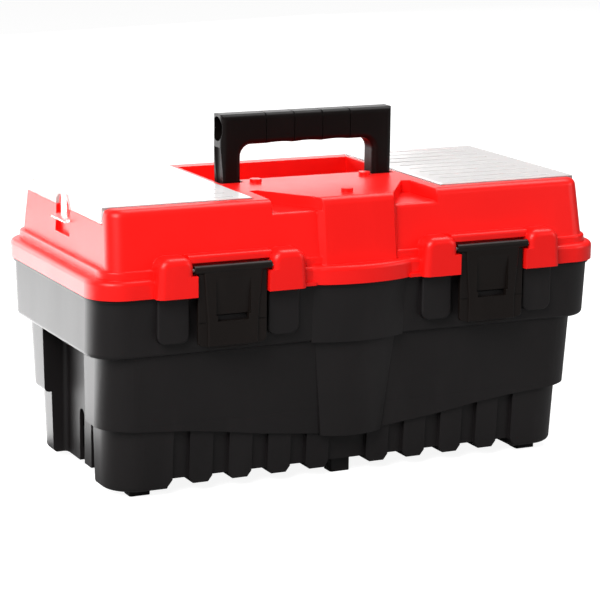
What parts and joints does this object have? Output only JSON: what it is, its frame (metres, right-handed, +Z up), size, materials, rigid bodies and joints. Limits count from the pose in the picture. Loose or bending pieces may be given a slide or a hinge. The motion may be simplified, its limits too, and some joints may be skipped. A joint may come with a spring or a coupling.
{
  "type": "toolbox with tray",
  "caption": "Portable plastic toolbox: stepped tub, hinged lid with two lidded organisers, folding handle, two latches and a lift-out tray with its own handle.",
  "frame": {"origin": "on the floor under the middle of the closed box", "axes": "+X along the box's length, -Y towards the latches, +Z up"},
  "size_m": [0.462, 0.248, 0.297],
  "materials": {
    "tub_black": "fine moulded grain",
    "lid_red": "satin moulded",
    "handle_black": "satin",
    "latch_black": "satin",
    "clear_cover": "clear moulded plastic, slightly hazy",
    "tray_black": "satin",
    "divider_black": "satin",
    "steel": "plain"
  },
  "bodies": {
    "base": {"base_tub": "tub_black", "hinge_pin_left": "steel", "hinge_pin_right": "steel"},
    "lid": {"lid_shell": "lid_red", "handle_pin_left": "steel", "handle_pin_right": "steel", "latch_pin_left": "steel", "latch_pin_right": "steel", "organiser_divider_left_front": "divider_black", "organiser_divider_left_rear": "divider_black", "organiser_divider_right_front": "divider_black", "organiser_divider_right_rear": "divider_black"},
    "handle": {"handle": "handle_black"},
    "latch_left": {"latch_left": "latch_black"},
    "latch_right": {"latch_right": "latch_black"},
    "cover_left": {"cover_left": "clear_cover"},
    "cover_right": {"cover_right": "clear_cover"},
    "tray": {"tray": "tray_black", "tray_handle": "tray_black", "tray_divider_left": "tray_black", "tray_divider_right": "tray_black"}
  },
  "joints": [
    {"name": "lid_hinge", "type": "hinge", "parent": "base", "child": "lid", "pos_m": [0, 0.119, 0.174], "axis": [-1, 0, 0], "range_deg": [0, 100]},
    {"name": "handle_fold", "type": "hinge", "parent": "lid", "child": "handle", "pos_m": [0, 0, 0.226], "axis": [-1, 0, 0], "range_deg": [0, 90]},
    {"name": "latch_left_swing", "type": "hinge", "parent": "lid", "child": "latch_left", "pos_m": [-0.118, -0.1196, 0.192], "axis": [-1, 0, 0], "range_deg": [0, 120]},
    {"name": "latch_right_swing", "type": "hinge", "parent": "lid", "child": "latch_right", "pos_m": [0.118, -0.1196, 0.192], "axis": [-1, 0, 0], "range_deg": [0, 120]},
    {"name": "cover_left_hinge", "type": "hinge", "parent": "lid", "child": "cover_left", "pos_m": [-0.088, 0, 0.2386], "axis": [0, 1, 0], "range_deg": [0, 90]},
    {"name": "cover_right_hinge", "type": "hinge", "parent": "lid", "child": "cover_right", "pos_m": [0.088, 0, 0.2386], "axis": [0, -1, 0], "range_deg": [0, 90]},
    {"name": "tray_lift", "type": "slide", "parent": "base", "child": "tray", "axis": [0, 0, 1], "range_m": [0, 0.062]}
  ],
  "couplings": [
    {"joint": "tray_lift", "follows": "lid_hinge", "m_per_rad": 0.0343}
  ]
}
